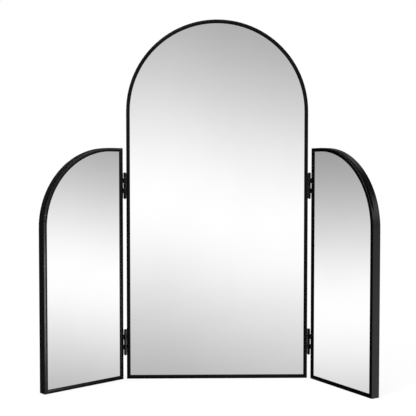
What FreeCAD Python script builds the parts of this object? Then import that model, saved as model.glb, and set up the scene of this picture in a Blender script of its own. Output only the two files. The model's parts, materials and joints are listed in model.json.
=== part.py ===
import FreeCAD, Part
import Sketcher
import math
import os

# Trifold vanity mirror: an arched centre panel with a quarter-arched wing hinged to each side.
# Each panel is an aluminium rail frame round a glass mirror, a foam sheet and a backing board.
# Millimetres, +Z up. The origin is the middle of the centre bottom rail's underside, and the
# mirrors face -Y. The wings stand folded forward by the two fold angles.

SIZES = (
    ("centre_width", 457.0, "outer width of the centre panel"),
    ("centre_height", 904.0, "outer height of the centre panel at the top of its arch"),
    ("wing_width", 226.0, "outer width of a wing"),
    ("wing_height", 583.0, "outer height of a wing"),
    ("flat_beyond_key", 4.0, "straight top rail of a wing past its corner key's leg"),
    ("panel_gap", 7.0, "gap between the side faces of two panels; a hinge barrel fills it"),
    ("axis_lead", 2.4, "hinge axis in front of the panels' front faces"),
    ("left_wing_fold", 40.1, "degrees that the left wing is folded forward from flat"),
    ("right_wing_fold", 59.8, "degrees that the right wing is folded forward from flat"),
    ("frame_depth", 23.5, "front to back depth of the rails"),
    ("face_width", 9.0, "width of the rails' front face"),
    ("glass_recess", 4.5, "mirror glass behind the front face"),
    ("rail_wall", 1.2, "wall of the extruded rail"),
    ("edge_radius", 0.6, "rounding of the rail's outer edges"),
    ("face_crown", 0.5, "rise of the shallow dome across the rail's front face"),
    ("flange_reach", 7.5, "reach of the rail's shelf and rear flange from its outer face"),
    ("channel_height", 4.8, "clear height of the corner key channel"),
    ("pack_inset", 5.0, "edge of the glass, foam and board from the rail's outer face"),
    ("glass_thickness", 4.0, "silvered float glass"),
    ("foam_thickness", 2.0, "foam sheet behind the glass"),
    ("board_thickness", 3.0, "hardboard backing"),
    ("hinge_length", 63.5, "length of a hinge leaf, two and a half inches"),
    ("hinge_end_distance", 94.0, "hinge's middle from the wing's top or bottom edge"),
    ("leaf_width", 18.0, "hinge axis to the leaf's free edge"),
    ("leaf_thickness", 1.2, "sheet of the hinge leaves"),
    ("pin_fit", 0.05, "running clearance round a pin, and clearance round screws"),
    ("knuckle_play", 0.3, "end gap between two knuckles"),
    ("notch_clearance", 0.5, "leaf notch beyond the other leaf's barrel"),
    ("pin_head_radius", 2.8, "radius of the pin's peened ends"),
    ("pin_head_height", 1.6, "height of the pin's peened ends"),
    ("pin_head_chamfer", 1.0, "chamfer of the pin's peened ends"),
    ("leaf_screw_line", 11.0, "hinge axis to the line of leaf screws"),
    ("leaf_screw_spacing", 21.0, "spacing of a leaf's screws"),
    ("screw_radius", 1.5, "M3 screw"),
    ("screw_head_height", 1.1, "countersunk head, cut at 90 degrees"),
    ("screw_length", 5.0, "overall length of a screw"),
    ("nut_plate_thickness", 2.0, "tapped plate behind a hinge leaf"),
    ("nut_plate_width", 10.0, "tapped plate, front to back"),
    ("nut_plate_length", 60.0, "tapped plate, along the stile"),
    ("key_leg", 30.0, "corner key's leg from the frame's outer corner"),
    ("key_width", 6.0, "corner key's leg across"),
    ("key_thickness", 3.0, "corner key's plate"),
    ("key_fit", 0.1, "corner key clear of the rail's wall"),
    ("key_screw_distance", 20.0, "corner screw from the frame's outer corner"),
    ("block_length", 30.0, "rubber setting block"),
    ("clip_length", 46.0, "spring clip"),
    ("clip_width", 10.0, "spring clip, from the rail inwards"),
    ("clip_thickness", 0.5, "spring clip's strip"),
    ("clip_inset", 2.0, "spring clip's edge from the rail's outer face"),
    ("clip_foot", 6.0, "flat end of a spring clip"),
    ("clip_ramp", 8.0, "sloping part of a spring clip"),
    ("clip_end_distance", 120.0, "first and last spring clip from the ends of a stile"),
)

KNUCKLES = 5
SCREWS_PER_LEAF = 3
SCREW_HEAD_ANGLE = 90
CLIPS_PER_LONG_STILE = 3
CLIPS_PER_SHORT_STILE = 2
BLOCKS_PER_BOTTOM_RAIL = 2
LEFT, RIGHT = -1, 1

doc = FreeCAD.newDocument("TrifoldMirror")
sheet = doc.addObject("Spreadsheet::Sheet", "Sizes")
subparts = []


class Size:
    """A dimension that carries its number and the formula that ties it to the sheet."""

    def __init__(self, number, formula=None):
        self.number = float(number)
        self.formula = formula if formula else repr(float(number))

    @staticmethod
    def of(other):
        return other if isinstance(other, Size) else Size(other)

    def __add__(self, other):
        other = Size.of(other)
        return Size(self.number + other.number, "(%s + %s)" % (self.formula, other.formula))

    def __sub__(self, other):
        other = Size.of(other)
        return Size(self.number - other.number, "(%s - %s)" % (self.formula, other.formula))

    def __mul__(self, other):
        other = Size.of(other)
        return Size(self.number * other.number, "(%s * %s)" % (self.formula, other.formula))

    def __truediv__(self, other):
        other = Size.of(other)
        return Size(self.number / other.number, "(%s / %s)" % (self.formula, other.formula))

    def __rmul__(self, other):
        return Size.of(other) * self

    def __neg__(self):
        return Size(-self.number, "(0 - %s)" % self.formula)

    def root(self):
        return Size(math.sqrt(self.number), "sqrt(%s)" % self.formula)


def fill_sheet():
    """Writes each size in a row of its own: name, value under the alias, and meaning."""
    named = {}
    for row, (alias, number, meaning) in enumerate(SIZES, start=1):
        sheet.set("A%d" % row, alias)
        sheet.set("B%d" % row, str(number))
        sheet.setAlias("B%d" % row, alias)
        sheet.set("C%d" % row, meaning)
        named[alias] = Size(number, "Sizes.%s" % alias)
    doc.recompute()
    return named


size = fill_sheet()
ZERO = Size(0)

# Sizes that follow from the sheet.
barrel_radius = size["panel_gap"] / 2
bore_radius = barrel_radius - size["leaf_thickness"]
pin_radius = bore_radius - size["pin_fit"]
axis_x = size["centre_width"] / 2 + size["panel_gap"] / 2
axis_y = -(size["frame_depth"] / 2 + size["axis_lead"])
low_hinge = size["hinge_end_distance"]
high_hinge = size["wing_height"] - size["hinge_end_distance"]
head_radius = size["screw_radius"] + size["screw_head_height"]
foam_front = size["glass_recess"] + size["glass_thickness"]
board_front = foam_front + size["foam_thickness"]
pack_back = board_front + size["board_thickness"]
flange_front = size["frame_depth"] - size["rail_wall"]
shelf_back = flange_front - size["channel_height"]
shelf_front = shelf_back - size["rail_wall"]
key_inset = size["rail_wall"] + size["key_fit"]
key_screw_line = key_inset + size["key_width"] / 2
wing_flat = size["key_leg"] + size["flat_beyond_key"]
wing_arch_radius = size["wing_width"] - wing_flat


# ---------------------------------------------------------------- drawing helpers

def bind(thing, path, value):
    thing.setExpression(path, value.formula)


def new_body(name):
    body = doc.addObject("PartDesign::Body", name)
    body.Label = name
    subparts.append(body)
    return body


def new_sketch(body, name, plane, at=ZERO):
    """A sketch on the body's own XY, XZ or YZ plane, moved along that plane's axis."""
    sketch = body.newObject("Sketcher::SketchObject", name)
    role = plane + "_Plane"
    origin_plane = [f for f in body.Origin.OriginFeatures if f.Role == role][0]
    sketch.AttachmentSupport = (origin_plane, "")
    sketch.MapMode = "FlatFace"
    # The XZ plane's normal points to -Y.
    bind(sketch, "AttachmentOffset.Base.z", -at if plane == "XZ" else at)
    return sketch


def fix_point(sketch, edge, end, x, y):
    """Holds one point of an edge by its two distances from the sketch's origin."""
    for kind, distance in (("DistanceX", x), ("DistanceY", y)):
        rule = Sketcher.Constraint(kind, -1, 1, edge, end, distance.number)
        bind(sketch, "Constraints[%d]" % sketch.addConstraint(rule), distance)


def arc_between(start, stop, centre):
    """The anticlockwise arc from start to stop."""
    begin = math.atan2(start.y - centre.y, start.x - centre.x)
    finish = math.atan2(stop.y - centre.y, stop.x - centre.x)
    if finish <= begin:
        finish += 2 * math.pi
    circle = Part.Circle(centre, FreeCAD.Vector(0, 0, 1), (start - centre).Length)
    return Part.ArcOfCircle(circle, begin, finish)


def outline(sketch, corners, arcs=None):
    """A closed outline. Edge i runs from corner i to the next. For each edge that is an arc,
    arcs gives its centre and its turn: 1 for anticlockwise, -1 for clockwise."""
    arcs = arcs or {}
    first = sketch.GeometryCount
    count = len(corners)
    points = [FreeCAD.Vector(x.number, y.number, 0) for x, y in corners]
    tails, heads = [1] * count, [2] * count
    for i in range(count):
        start, stop = points[i], points[(i + 1) % count]
        if i not in arcs:
            sketch.addGeometry(Part.LineSegment(start, stop))
            continue
        centre_x, centre_y, turn = arcs[i]
        centre = FreeCAD.Vector(centre_x.number, centre_y.number, 0)
        if turn < 0:
            start, stop = stop, start
            tails[i], heads[i] = 2, 1
        sketch.addGeometry(arc_between(start, stop, centre))
    for i in range(count):
        follower = (i + 1) % count
        joined = Sketcher.Constraint("Coincident", first + i, heads[i],
                                     first + follower, tails[follower])
        sketch.addConstraint(joined)
    for i in range(count):
        fix_point(sketch, first + i, tails[i], *corners[i])
    for i, (centre_x, centre_y, turn) in arcs.items():
        # The ends leave the centre free along the chord's bisector only.
        chord = points[(i + 1) % count] - points[i]
        level = abs(chord.x) > abs(chord.y)
        kind, distance = ("DistanceY", centre_y) if level else ("DistanceX", centre_x)
        rule = Sketcher.Constraint(kind, -1, 1, first + i, 3, distance.number)
        bind(sketch, "Constraints[%d]" % sketch.addConstraint(rule), distance)


def rectangle(sketch, left, right, bottom, top):
    outline(sketch, [(left, bottom), (right, bottom), (right, top), (left, top)])


def circle(sketch, x, y, radius):
    middle = FreeCAD.Vector(x.number, y.number, 0)
    edge = sketch.addGeometry(Part.Circle(middle, FreeCAD.Vector(0, 0, 1), radius.number))
    fix_point(sketch, edge, 3, x, y)
    rule = Sketcher.Constraint("Radius", edge, radius.number)
    bind(sketch, "Constraints[%d]" % sketch.addConstraint(rule), radius)


def pad(body, name, sketch, length, backwards=False):
    """Pads towards +X, +Y or +Z, or the other way if backwards."""
    feature = body.newObject("PartDesign::Pad", name)
    feature.Profile = sketch
    bind(feature, "Length", length)
    on_xz = sketch.AttachmentSupport[0][0].Role == "XZ_Plane"
    feature.Reversed = on_xz != backwards
    return feature


def check_cut(body, feature):
    before = body.Shape.Volume
    body.Tip = feature
    doc.recompute()
    if not body.Shape.Volume < before:
        raise RuntimeError("%s takes nothing off %s" % (feature.Name, body.Label))


def cut_through(body, name, sketch):
    """Cuts the sketch's outlines right through the body, both ways."""
    doc.recompute()
    feature = body.newObject("PartDesign::Pocket", name)
    feature.Profile = sketch
    feature.Type = "ThroughAll"
    feature.Midplane = True
    check_cut(body, feature)


def countersink(body, name, sketch, reverse):
    """Countersunk screw holes at the sketch's circles."""
    doc.recompute()
    feature = body.newObject("PartDesign::Hole", name)
    feature.Profile = sketch
    feature.Threaded = False
    feature.DepthType = "Dimension"
    feature.Reversed = reverse
    feature.DrillPoint = "Flat"
    feature.HoleCutType = "Countersink"
    feature.HoleCutCustomValues = True
    feature.HoleCutCountersinkAngle = SCREW_HEAD_ANGLE
    bind(feature, "Diameter", (size["screw_radius"] + size["pin_fit"]) * 2)
    bind(feature, "HoleCutDiameter", (head_radius + size["pin_fit"]) * 2)
    bind(feature, "Depth", size["screw_length"])
    check_cut(body, feature)


def repeat_along(body, name, feature, axis, length, count):
    pattern = body.newObject("PartDesign::LinearPattern", name)
    pattern.Originals = [feature]
    direction = [f for f in body.Origin.OriginFeatures if f.Role == axis + "_Axis"][0]
    pattern.Direction = (direction, [""])
    bind(pattern, "Length", length)
    pattern.Occurrences = count
    body.Tip = pattern
    return pattern


def mirror_across_middle(body, name, features):
    mirrored = body.newObject("PartDesign::Mirrored", name)
    mirrored.Originals = features
    middle = [f for f in body.Origin.OriginFeatures if f.Role == "YZ_Plane"][0]
    mirrored.MirrorPlane = (middle, [""])
    body.Tip = mirrored
    return mirrored


def set_at_axis(body, side, fold=None):
    """Moves a body drawn about the hinge axis to that axis, turned with the wing's fold."""
    if fold is not None:
        about = FreeCAD.Rotation(FreeCAD.Vector(0, 0, -side), fold.number)
        body.Placement = FreeCAD.Placement(FreeCAD.Vector(), about)
        bind(body, "Placement.Rotation.Angle", fold)
    bind(body, "Placement.Base.x", side * axis_x)
    bind(body, "Placement.Base.y", axis_y)


# ---------------------------------------------------------------- rails

def rail_section():
    """The extrusion's section, as corners and rounded edges. A corner is the distance in from
    the outer face and the distance back from the front. The front face is a shallow dome."""
    wall = size["rail_wall"]
    face = size["face_width"]
    reach = size["flange_reach"]
    recess = size["glass_recess"]
    depth = size["frame_depth"]
    edge = size["edge_radius"]
    crown = size["face_crown"]
    half_dome = face / 2 - edge
    dome_radius = (half_dome * half_dome + crown * crown) / (crown * 2)
    corners = [
        (edge, crown), (face - edge, crown),
        (face, crown + edge), (face, recess), (face - wall, recess),
        (face - wall, crown + wall), (wall, crown + wall),
        (wall, shelf_front), (reach, shelf_front), (reach, shelf_back), (wall, shelf_back),
        (wall, flange_front), (reach, flange_front), (reach, depth - edge),
        (reach - edge, depth), (edge, depth),
        (ZERO, depth - edge), (ZERO, crown + edge),
    ]
    rounded = {0: (face / 2, dome_radius), 1: (face - edge, crown + edge),
               13: (reach - edge, depth - edge), 15: (edge, depth - edge),
               17: (edge, crown + edge)}
    return corners, rounded


def draw_upright_section(sketch, outer, inward, front):
    corners, rounded = rail_section()
    arcs = {i: (outer + inward * u, front + v, inward) for i, (u, v) in rounded.items()}
    outline(sketch, [(outer + inward * u, front + v) for u, v in corners], arcs)


def draw_level_section(sketch, outer, inward, front):
    corners, rounded = rail_section()
    arcs = {i: (front + v, outer + inward * u, -inward) for i, (u, v) in rounded.items()}
    outline(sketch, [(front + v, outer + inward * u) for u, v in corners], arcs)


def add_arc_axis(sketch, x, front):
    """A construction line that a bend turns about, square to the panel."""
    start = FreeCAD.Vector(x.number, front.number, 0)
    stop = FreeCAD.Vector(x.number, front.number + size["frame_depth"].number, 0)
    edge = sketch.addGeometry(Part.LineSegment(start, stop), True)
    fix_point(sketch, edge, 1, x, front)
    fix_point(sketch, edge, 2, x, front + size["frame_depth"])


def bend(body, name, sketch, degrees, reverse):
    feature = body.newObject("PartDesign::Revolution", name)
    feature.Profile = sketch
    feature.ReferenceAxis = (sketch, ["Axis0"])
    feature.Angle = degrees
    feature.Reversed = reverse
    return feature


def cut_mitre(body, name, corner, inward, upright):
    """Cuts a rail's end at 45 degrees from the frame's outer corner inwards."""
    x, z = corner
    to_x, to_z = inward
    reach = size["face_width"] + size["rail_wall"]
    if upright:
        far = (x + to_x * reach, z)
    else:
        far = (x, z + to_z * reach)
    sketch = new_sketch(body, name + "_line", "XZ")
    outline(sketch, [(x, z), far, (x + to_x * reach, z + to_z * reach)])
    cut_through(body, name, sketch)


def cut_leaf_screw_holes(body, along):
    """Clearance holes for the hinge screws, through the rail's outer wall."""
    sketch = new_sketch(body, "hinge_screw_holes_plan", "YZ")
    for height in edge_screw_heights():
        circle(sketch, along, height, size["screw_radius"] + size["pin_fit"])
    cut_through(body, "hinge_screw_holes", sketch)


def leaf_screw_heights(middle):
    """Heights of one leaf's screws about the leaf's middle."""
    outermost = (SCREWS_PER_LEAF - 1) / 2
    return [middle + (i - outermost) * size["leaf_screw_spacing"]
            for i in range(SCREWS_PER_LEAF)]


def edge_screw_heights():
    """Heights of the screws of both hinges along a panel's edge."""
    return leaf_screw_heights(low_hinge) + leaf_screw_heights(high_hinge)


def cut_corner_screw_holes(body, places, front):
    """Countersunk holes through the rear flange for the screws into the corner keys."""
    sketch = new_sketch(body, "corner_screw_holes_plan", "XZ", front + size["frame_depth"])
    for x, z in places:
        circle(sketch, x, z, size["screw_radius"])
    countersink(body, "corner_screw_holes", sketch, True)


def corner_screw_places(corner, inward):
    """The two corner screws: on the level rail and on the upright."""
    x, z = corner
    to_x, to_z = inward
    far = size["key_screw_distance"]
    on_level = (x + to_x * far, z + to_z * key_screw_line)
    on_upright = (x + to_x * key_screw_line, z + to_z * far)
    return on_level, on_upright


# ---------------------------------------------------------------- pieces of every panel

def make_sheet_piece(name, draw_outline, front, thickness):
    body = new_body(name)
    sketch = new_sketch(body, "outline", "XZ", front)
    draw_outline(sketch)
    pad(body, "sheet", sketch, thickness)
    return body


def make_pack(prefix, draw_outline, front):
    """The mirror glass, the foam sheet behind it and the backing board."""
    glass_front = front + size["glass_recess"]
    return [
        make_sheet_piece(prefix + "_mirror_glass", draw_outline, glass_front,
                         size["glass_thickness"]),
        make_sheet_piece(prefix + "_foam_sheet", draw_outline, front + foam_front,
                         size["foam_thickness"]),
        make_sheet_piece(prefix + "_backing_board", draw_outline, front + board_front,
                         size["board_thickness"]),
    ]


def make_corner_key(name, corner, inward, front):
    """An L plate in the rails' rear channel, tapped for a screw in each leg."""
    x, z = corner
    to_x, to_z = inward
    near, wide, far = key_inset, key_inset + size["key_width"], size["key_leg"]
    legs = [(near, near), (far, near), (far, wide), (wide, wide), (wide, far), (near, far)]
    body = new_body(name)
    plate_front = front + flange_front - size["key_thickness"]
    sketch = new_sketch(body, "plate_outline", "XZ", plate_front)
    outline(sketch, [(x + to_x * u, z + to_z * v) for u, v in legs])
    pad(body, "plate", sketch, size["key_thickness"])
    holes = new_sketch(body, "tapped_holes_plan", "XZ")
    for place_x, place_z in corner_screw_places(corner, inward):
        circle(holes, place_x, place_z, size["screw_radius"] + size["pin_fit"])
    cut_through(body, "tapped_holes", holes)
    return body


def make_corner_screws(name, places, front):
    body = new_body(name)
    back = front + size["frame_depth"]
    shanks = new_sketch(body, "shank_plan", "XZ", back - size["screw_length"])
    heads = new_sketch(body, "head_plan", "XZ", back)
    for x, z in places:
        circle(shanks, x, z, size["screw_radius"])
        circle(heads, x, z, head_radius)
    pad(body, "shanks", shanks, size["screw_length"])
    cone = pad(body, "heads", heads, size["screw_head_height"], backwards=True)
    cone.TaperAngle = -SCREW_HEAD_ANGLE / 2
    return body


def bottom_block_spans(start, length):
    """Setting blocks spread evenly over a bottom rail. Length is negative towards -X."""
    half_block = size["block_length"] / 2
    spans = []
    for i in range(BLOCKS_PER_BOTTOM_RAIL):
        middle = start + length * ((i + 0.5) / BLOCKS_PER_BOTTOM_RAIL)
        spans.append((middle - half_block, middle + half_block,
                      size["rail_wall"], size["pack_inset"]))
    return spans


def make_setting_blocks(name, spans, front):
    """Rubber blocks that hold the pack's edge off the rail. A span is left, right, bottom, top."""
    body = new_body(name)
    sketch = new_sketch(body, "blocks_plan", "XZ", front + size["glass_recess"])
    for span in spans:
        rectangle(sketch, *span)
    pad(body, "blocks", sketch, pack_back - size["glass_recess"])
    return body


def clip_outline(start, front):
    """A spring clip's bowed strip: distance along the rail, distance back. Its feet press on
    the rail's shelf and its middle on the backing board."""
    length, foot = size["clip_length"], size["clip_foot"]
    knee = foot + size["clip_ramp"]
    strip = size["clip_thickness"]
    shelf = front + shelf_front
    board = front + pack_back
    back_edge = [(ZERO, shelf), (foot, shelf), (knee, board + strip),
                 (length - knee, board + strip), (length - foot, shelf), (length, shelf)]
    front_edge = [(length, shelf - strip), (length - foot, shelf - strip),
                  (length - knee, board), (knee, board), (foot, shelf - strip),
                  (ZERO, shelf - strip)]
    return [(start + along, back) for along, back in back_edge + front_edge]


def add_upright_clip(body, name, edge, start, front):
    """A clip along a stile. Edge is its lower X."""
    sketch = new_sketch(body, name + "_bow", "YZ", edge)
    outline(sketch, [(back, along) for along, back in clip_outline(start, front)])
    return pad(body, name, sketch, size["clip_width"])


def add_level_clip(body, name, start, front):
    """A clip along the bottom rail."""
    sketch = new_sketch(body, name + "_bow", "XY", size["clip_inset"])
    outline(sketch, clip_outline(start, front))
    return pad(body, name, sketch, size["clip_width"])


# ---------------------------------------------------------------- centre panel

def make_centre_panel():
    half = size["centre_width"] / 2
    spring = size["centre_height"] - half
    front = -(size["frame_depth"] / 2)
    corners = {LEFT: (-half, ZERO), RIGHT: (half, ZERO)}
    screw_places = {side: corner_screw_places(corners[side], (-side, 1)) for side in corners}

    arch = new_body("centre_arch_rail")
    section = new_sketch(arch, "section", "XY", spring)
    draw_upright_section(section, -half, 1, front)
    add_arc_axis(section, ZERO, front)
    bend(arch, "arch", section, 180, False)
    leg = pad(arch, "left_leg", section, spring, backwards=True)
    mirror_across_middle(arch, "right_leg", [leg])
    for side, name in ((LEFT, "left_mitre"), (RIGHT, "right_mitre")):
        cut_mitre(arch, name, corners[side], (-side, 1), upright=True)
    cut_leaf_screw_holes(arch, axis_y + size["leaf_screw_line"])
    cut_corner_screw_holes(arch, [screw_places[side][1] for side in corners], front)

    bottom = new_body("centre_bottom_rail")
    section = new_sketch(bottom, "section", "YZ", -half)
    draw_level_section(section, ZERO, 1, front)
    pad(bottom, "rail", section, size["centre_width"])
    for side, name in ((LEFT, "left_mitre"), (RIGHT, "right_mitre")):
        cut_mitre(bottom, name, corners[side], (-side, 1), upright=False)
    cut_corner_screw_holes(bottom, [screw_places[side][0] for side in corners], front)

    def draw_pack(sketch):
        low = size["pack_inset"]
        side = half - low
        corner_points = [(-side, low), (side, low), (side, spring), (-side, spring)]
        outline(sketch, corner_points, {2: (ZERO, spring, 1)})

    make_pack("centre", draw_pack, front)
    make_corner_key("centre_left_corner_key", corners[LEFT], (1, 1), front)
    make_corner_key("centre_right_corner_key", corners[RIGHT], (-1, 1), front)
    all_places = [place for side in corners for place in screw_places[side]]
    make_corner_screws("centre_corner_screws", all_places, front)

    wall, edge, block = size["rail_wall"], size["pack_inset"], size["block_length"]
    spans = bottom_block_spans(-half, size["centre_width"])
    for bottom_edge in ((low_hinge + high_hinge - block) / 2, spring - block):
        spans.append((wall - half, edge - half, bottom_edge, bottom_edge + block))
        spans.append((half - edge, half - wall, bottom_edge, bottom_edge + block))
    make_setting_blocks("centre_setting_blocks", spans, front)

    clips = new_body("centre_spring_clips")
    first, inner = size["clip_end_distance"], size["clip_inset"]
    last = spring - first - size["clip_length"]
    for side, name in ((LEFT, "left"), (RIGHT, "right")):
        lower = inner - half if side == LEFT else half - inner - size["clip_width"]
        clip = add_upright_clip(clips, name + "_clip", lower, first, front)
        repeat_along(clips, name + "_clips", clip, "Z", last - first, CLIPS_PER_LONG_STILE)
        start = side * half / 2 - size["clip_length"] / 2
        add_level_clip(clips, name + "_bottom_clip", start, front)


# ---------------------------------------------------------------- wings

def make_wing(side, prefix, fold):
    """A wing drawn about its hinge axis: the panel lies away from the centre, towards side."""
    near = side * size["panel_gap"] / 2
    far = near + side * size["wing_width"]
    top = size["wing_height"]
    arc_x = far - side * wing_arch_radius
    arc_z = top - wing_arch_radius
    front = size["axis_lead"]
    hinge_top, hinge_bottom, outer = (near, top), (near, ZERO), (far, ZERO)
    top_screws = corner_screw_places(hinge_top, (side, -1))
    bottom_screws = corner_screw_places(hinge_bottom, (side, 1))
    outer_screws = corner_screw_places(outer, (-side, 1))

    arch = new_body(prefix + "_arch_rail")
    section = new_sketch(arch, "outer_section", "XY", arc_z)
    draw_upright_section(section, far, -side, front)
    add_arc_axis(section, arc_x, front)
    bend(arch, "quarter_arch", section, 90, side == RIGHT)
    pad(arch, "outer_leg", section, arc_z, backwards=True)
    section = new_sketch(arch, "top_section", "YZ", arc_x)
    draw_level_section(section, top, -1, front)
    pad(arch, "top_flat", section, wing_flat, backwards=side == RIGHT)
    cut_mitre(arch, "outer_mitre", outer, (-side, 1), upright=True)
    cut_mitre(arch, "top_mitre", hinge_top, (side, -1), upright=False)
    cut_corner_screw_holes(arch, [outer_screws[1], top_screws[0]], front)

    stile = new_body(prefix + "_hinge_stile")
    section = new_sketch(stile, "section", "XY")
    draw_upright_section(section, near, side, front)
    pad(stile, "stile", section, top)
    cut_mitre(stile, "bottom_mitre", hinge_bottom, (side, 1), upright=True)
    cut_mitre(stile, "top_mitre", hinge_top, (side, -1), upright=True)
    cut_leaf_screw_holes(stile, size["leaf_screw_line"])
    cut_corner_screw_holes(stile, [bottom_screws[1], top_screws[1]], front)

    bottom = new_body(prefix + "_bottom_rail")
    section = new_sketch(bottom, "section", "YZ", near)
    draw_level_section(section, ZERO, 1, front)
    pad(bottom, "rail", section, size["wing_width"], backwards=side == LEFT)
    cut_mitre(bottom, "hinge_mitre", hinge_bottom, (side, 1), upright=False)
    cut_mitre(bottom, "outer_mitre", outer, (-side, 1), upright=False)
    cut_corner_screw_holes(bottom, [bottom_screws[0], outer_screws[0]], front)

    def draw_pack(sketch):
        inset = size["pack_inset"]
        hinge_edge, outer_edge = near + side * inset, far - side * inset
        points = [(hinge_edge, inset), (outer_edge, inset), (outer_edge, arc_z),
                  (arc_x, top - inset), (hinge_edge, top - inset)]
        outline(sketch, points, {2: (arc_x, arc_z, side)})

    pieces = make_pack(prefix, draw_pack, front)
    pieces += [
        arch, stile, bottom,
        make_corner_key(prefix + "_hinge_top_corner_key", hinge_top, (side, -1), front),
        make_corner_key(prefix + "_hinge_bottom_corner_key", hinge_bottom, (side, 1), front),
        make_corner_key(prefix + "_outer_corner_key", outer, (-side, 1), front),
        make_corner_screws(prefix + "_corner_screws",
                           top_screws + bottom_screws + outer_screws, front),
    ]

    wall, edge, block = size["rail_wall"], size["pack_inset"], size["block_length"]
    spans = bottom_block_spans(near, side * size["wing_width"])
    low = (low_hinge + high_hinge - block) / 2
    spans.append((near + side * wall, near + side * edge, low, low + block))
    spans.append((far - side * edge, far - side * wall, low, low + block))
    pieces.append(make_setting_blocks(prefix + "_setting_blocks", spans, front))

    clips = new_body(prefix + "_spring_clips")
    inner, wide = size["clip_inset"], size["clip_width"]
    hinge_lower = near + inner if side == RIGHT else near - inner - wide
    outer_lower = far - inner - wide if side == RIGHT else far + inner
    first = size["clip_end_distance"]
    hinge_clip = add_upright_clip(clips, "hinge_clip", hinge_lower, first, front)
    repeat_along(clips, "hinge_clips", hinge_clip, "Z",
                 top - first * 2 - size["clip_length"], CLIPS_PER_LONG_STILE)
    outer_clip = add_upright_clip(clips, "outer_clip", outer_lower, first, front)
    repeat_along(clips, "outer_clips", outer_clip, "Z", arc_z - first - size["clip_length"],
                 CLIPS_PER_SHORT_STILE)
    middle = near + side * size["wing_width"] / 2 - size["clip_length"] / 2
    add_level_clip(clips, "bottom_clip", middle, front)
    pieces.append(clips)

    for piece in pieces:
        set_at_axis(piece, side, fold)


# ---------------------------------------------------------------- hinges

def make_leaf(name, plate_side, middle, own_knuckles):
    """A hinge leaf drawn about the hinge axis: a plate on a panel's side face, rolled round
    the pin at the knuckles that are its own."""
    outer, inner = plate_side * barrel_radius, plate_side * bore_radius
    meets = (barrel_radius * barrel_radius - bore_radius * bore_radius).root()
    body = new_body(name)
    start = middle - size["hinge_length"] / 2
    section = new_sketch(body, "section", "XY", start)
    corners = [(outer, ZERO), (inner, meets), (inner, size["leaf_width"]),
               (outer, size["leaf_width"])]
    outline(section, corners, {0: (ZERO, ZERO, -plate_side)})
    circle(section, ZERO, ZERO, bore_radius)
    pad(body, "leaf", section, size["hinge_length"])

    notches = new_sketch(body, "notches_plan", "YZ")
    pitch = size["hinge_length"] / KNUCKLES
    ahead = -(barrel_radius + size["notch_clearance"])
    behind = barrel_radius + size["notch_clearance"]
    for i in range(KNUCKLES):
        if i in own_knuckles:
            continue
        low = start + pitch * i - size["knuckle_play"] / 2
        high = start + pitch * (i + 1) + size["knuckle_play"] / 2
        rectangle(notches, ahead, behind, low, high)
    cut_through(body, "notches", notches)

    face = new_sketch(body, "screw_holes_plan", "YZ", inner)
    for height in leaf_screw_heights(middle):
        circle(face, size["leaf_screw_line"], height, size["screw_radius"])
    countersink(body, "screw_holes", face, plate_side == RIGHT)
    return body


def make_pin(name, middle):
    """The hinge pin: a plain shaft with a peened, chamfered head at each end."""
    reach = size["hinge_length"] / 2 + size["pin_fit"]
    tip = reach + size["pin_head_height"]
    shoulder = tip - size["pin_head_chamfer"]
    head = size["pin_head_radius"]
    crown = head - size["pin_head_chamfer"]
    upper = [(pin_radius, reach), (head, reach), (head, shoulder), (crown, tip), (ZERO, tip)]
    lower = [(x, -z) for x, z in reversed(upper)]
    body = new_body(name)
    sketch = new_sketch(body, "half_section", "XZ")
    outline(sketch, [(x, middle + z) for x, z in lower + upper])
    turned = body.newObject("PartDesign::Revolution", "turned")
    turned.Profile = sketch
    turned.ReferenceAxis = (sketch, ["V_Axis"])
    turned.Angle = 360
    return body


def make_nut_plate(name, plate_side, middle):
    """A tapped plate inside the rail, behind the leaf."""
    body = new_body(name)
    inside = barrel_radius + size["rail_wall"]
    lower = -(inside + size["nut_plate_thickness"]) if plate_side == LEFT else inside
    sketch = new_sketch(body, "outline", "YZ", lower)
    half_width, half_length = size["nut_plate_width"] / 2, size["nut_plate_length"] / 2
    line = size["leaf_screw_line"]
    rectangle(sketch, line - half_width, line + half_width,
              middle - half_length, middle + half_length)
    for height in leaf_screw_heights(middle):
        circle(sketch, line, height, size["screw_radius"] + size["pin_fit"])
    pad(body, "plate", sketch, size["nut_plate_thickness"])
    return body


def add_leaf_screws(body, name, axis, plate_side, line):
    """Screws through a leaf, into its nut plate. Axis is the hinge axis's X in this body."""
    outside = axis + plate_side * bore_radius
    into_panel_is_positive = plate_side == RIGHT
    tip = outside + plate_side * size["screw_length"]
    shanks = new_sketch(body, name + "_shank_plan", "YZ",
                        outside if into_panel_is_positive else tip)
    heads = new_sketch(body, name + "_head_plan", "YZ", outside)
    for height in edge_screw_heights():
        circle(shanks, line, height, size["screw_radius"])
        circle(heads, line, height, head_radius)
    pad(body, name + "_shanks", shanks, size["screw_length"])
    cones = pad(body, name + "_heads", heads, size["screw_head_height"],
                backwards=not into_panel_is_positive)
    cones.TaperAngle = -SCREW_HEAD_ANGLE / 2


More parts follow.
